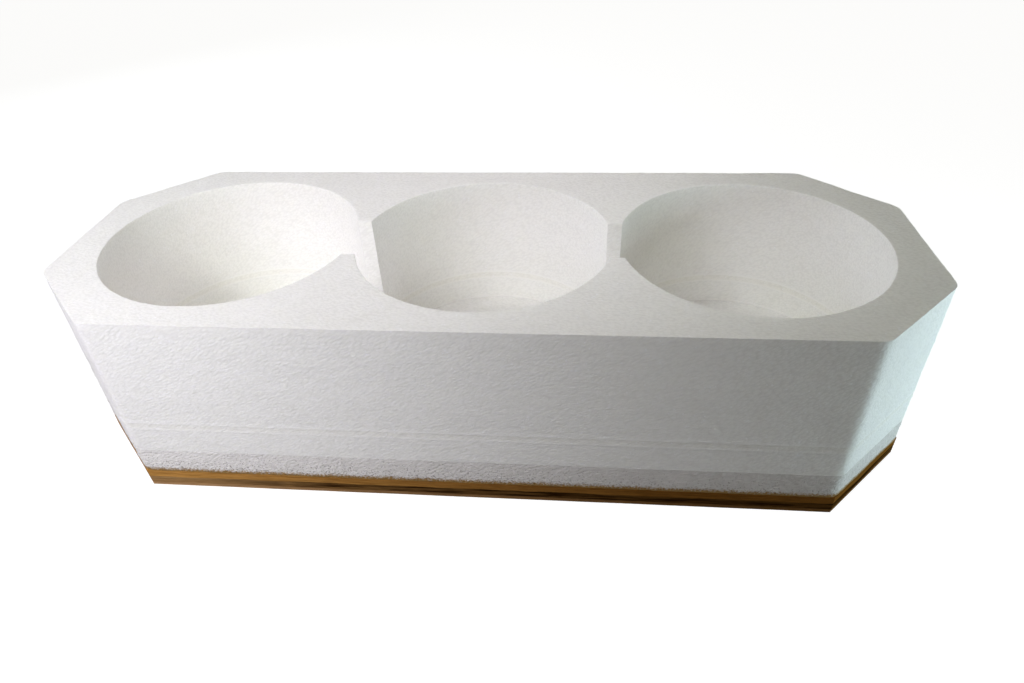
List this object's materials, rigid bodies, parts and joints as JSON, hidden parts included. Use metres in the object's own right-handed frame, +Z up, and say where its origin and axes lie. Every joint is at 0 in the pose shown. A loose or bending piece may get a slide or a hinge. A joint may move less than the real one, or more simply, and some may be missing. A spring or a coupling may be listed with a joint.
{
  "type": "foam packaging insert",
  "caption": "Laminated white foam packaging insert on a plywood base, with cut corners and a row of round pockets that open into each other.",
  "frame": {"origin": "middle of the underside of the plywood base", "axes": "+X along the row of pockets, +Y across it, +Z up, out of the pockets"},
  "size_m": [0.3646, 0.1362, 0.0885],
  "materials": {
    "plywood": "raw sawn plywood edge, three plies",
    "coarse_foam": "coarse torn cells",
    "white_foam": "fine closed cells, cut face"
  },
  "bodies": {
    "root": {"plywood_base": "plywood", "lower_foam_pad": "coarse_foam", "middle_foam_layer": "white_foam", "thin_foam_sheet": "white_foam", "upper_foam_block": "white_foam"}
  },
  "joints": []
}
